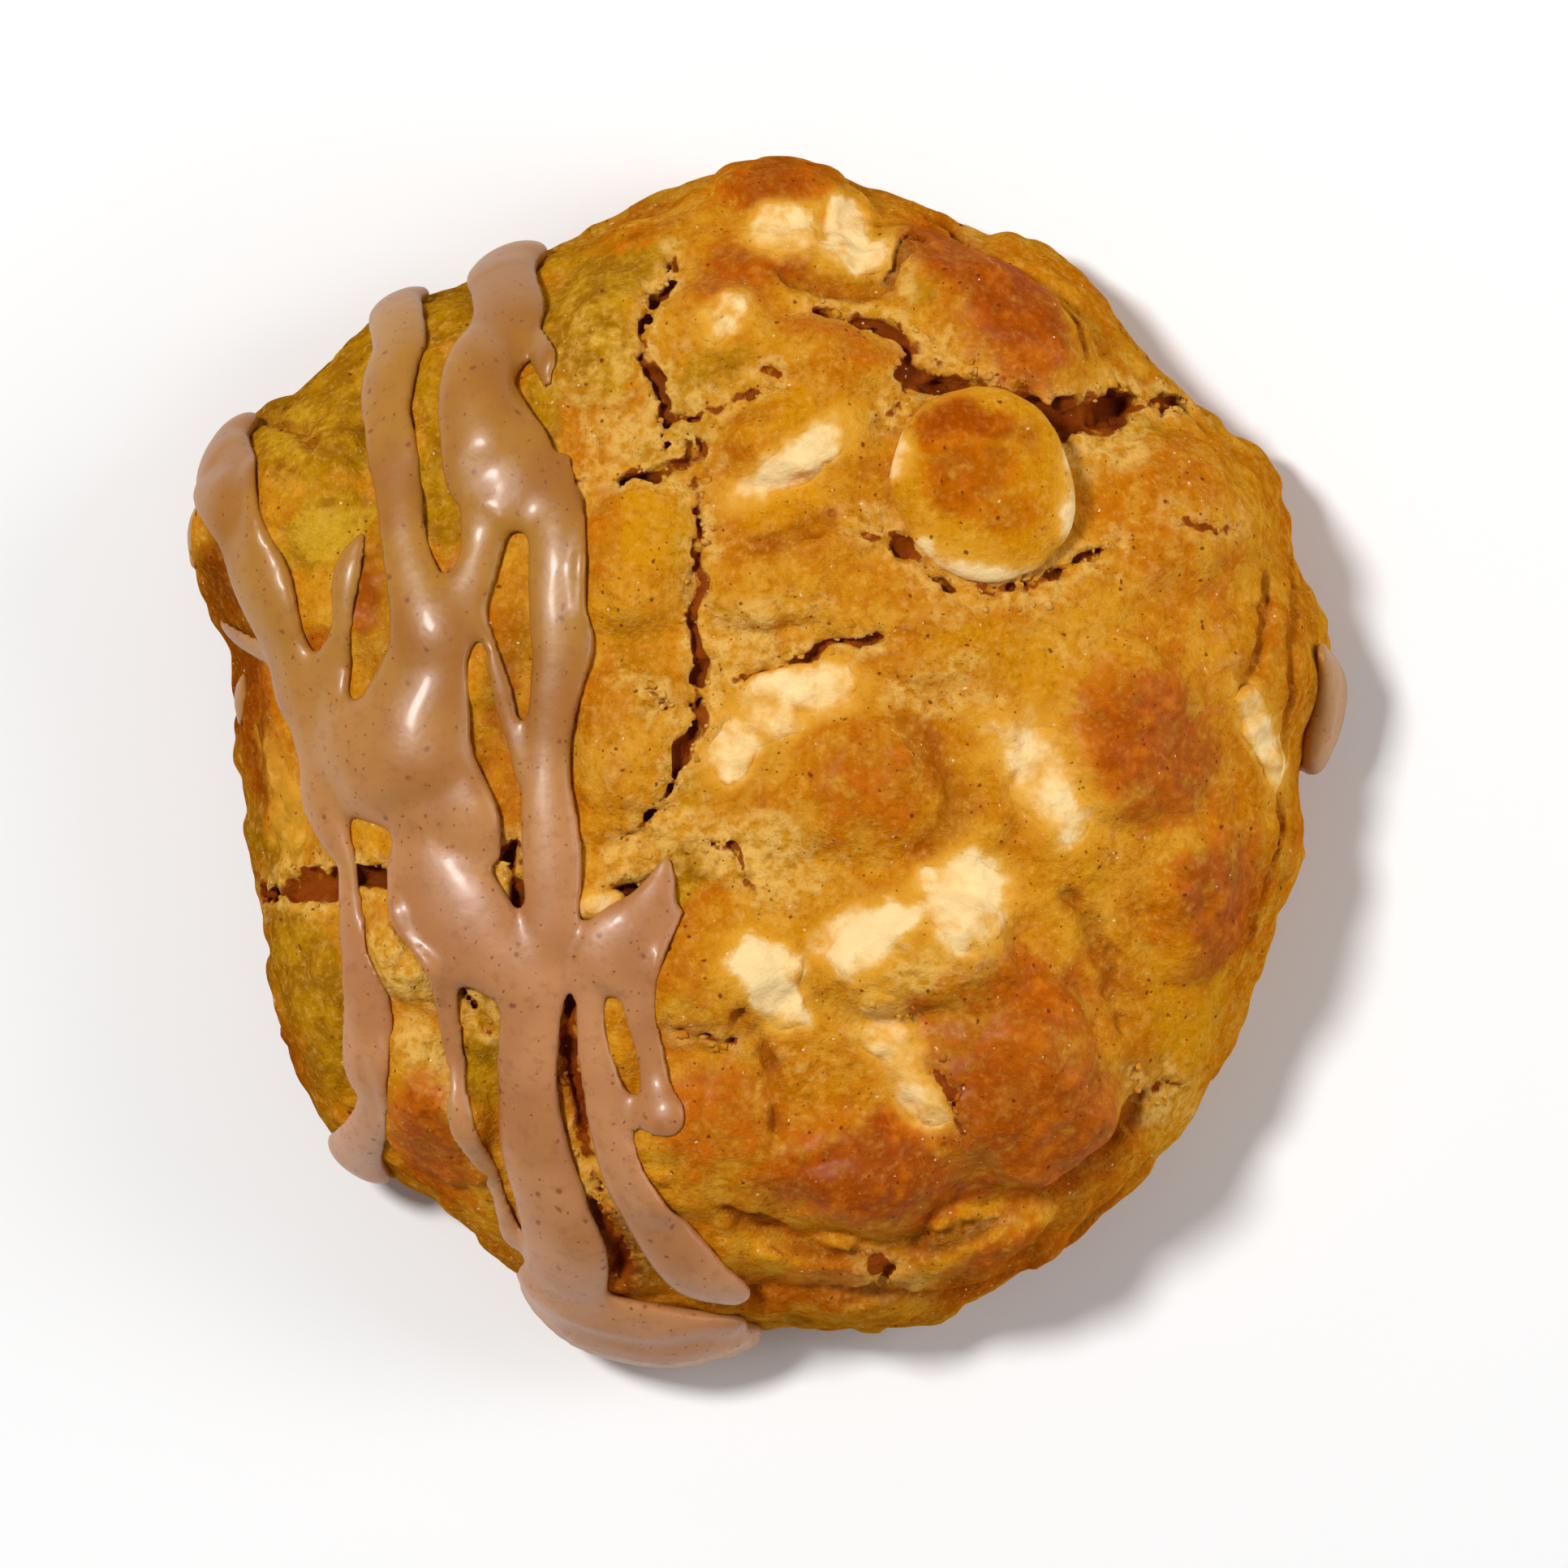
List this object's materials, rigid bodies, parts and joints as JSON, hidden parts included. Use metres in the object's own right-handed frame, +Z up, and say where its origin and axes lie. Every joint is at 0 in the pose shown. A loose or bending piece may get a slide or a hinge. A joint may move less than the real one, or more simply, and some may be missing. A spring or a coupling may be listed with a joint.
{
  "type": "spice cookie",
  "caption": "Thick domed spice cookie with a cracked crust, pieces and a wafer of white chocolate showing through it, and ropes of spiced icing drizzled over one side.",
  "frame": {"origin": "under the middle of the cookie's bounding box, in the plane of its flat underside", "axes": "+Z up out of the crust; +X and +Y are the right and the top of the cookie seen from straight above, with the drizzle on the -X side"},
  "size_m": [0.1014, 0.107, 0.0371],
  "materials": {
    "baked_dough": "golden brown baked crust with paler cracked crumb, spice specks and a slight greasy sheen",
    "white_chocolate": "smooth cream white chocolate, browned in places by the oven",
    "spiced_icing": "set milky brown icing with spice specks, semi-gloss; it lies fused on the cookie node"
  },
  "bodies": {
    "root": {"cookie": "baked_dough", "chocolate_wafer": "white_chocolate", "chocolate_centre": "white_chocolate", "chocolate_upper_streak": "white_chocolate", "chocolate_top_left": "white_chocolate", "chocolate_top_right": "white_chocolate", "chocolate_small": "white_chocolate", "chocolate_broad": "white_chocolate", "chocolate_left_square": "white_chocolate", "chocolate_lower": "white_chocolate", "chocolate_right": "white_chocolate", "chocolate_right_wall": "white_chocolate", "chocolate_left_wall": "white_chocolate", "chocolate_in_split": "white_chocolate"}
  },
  "joints": []
}
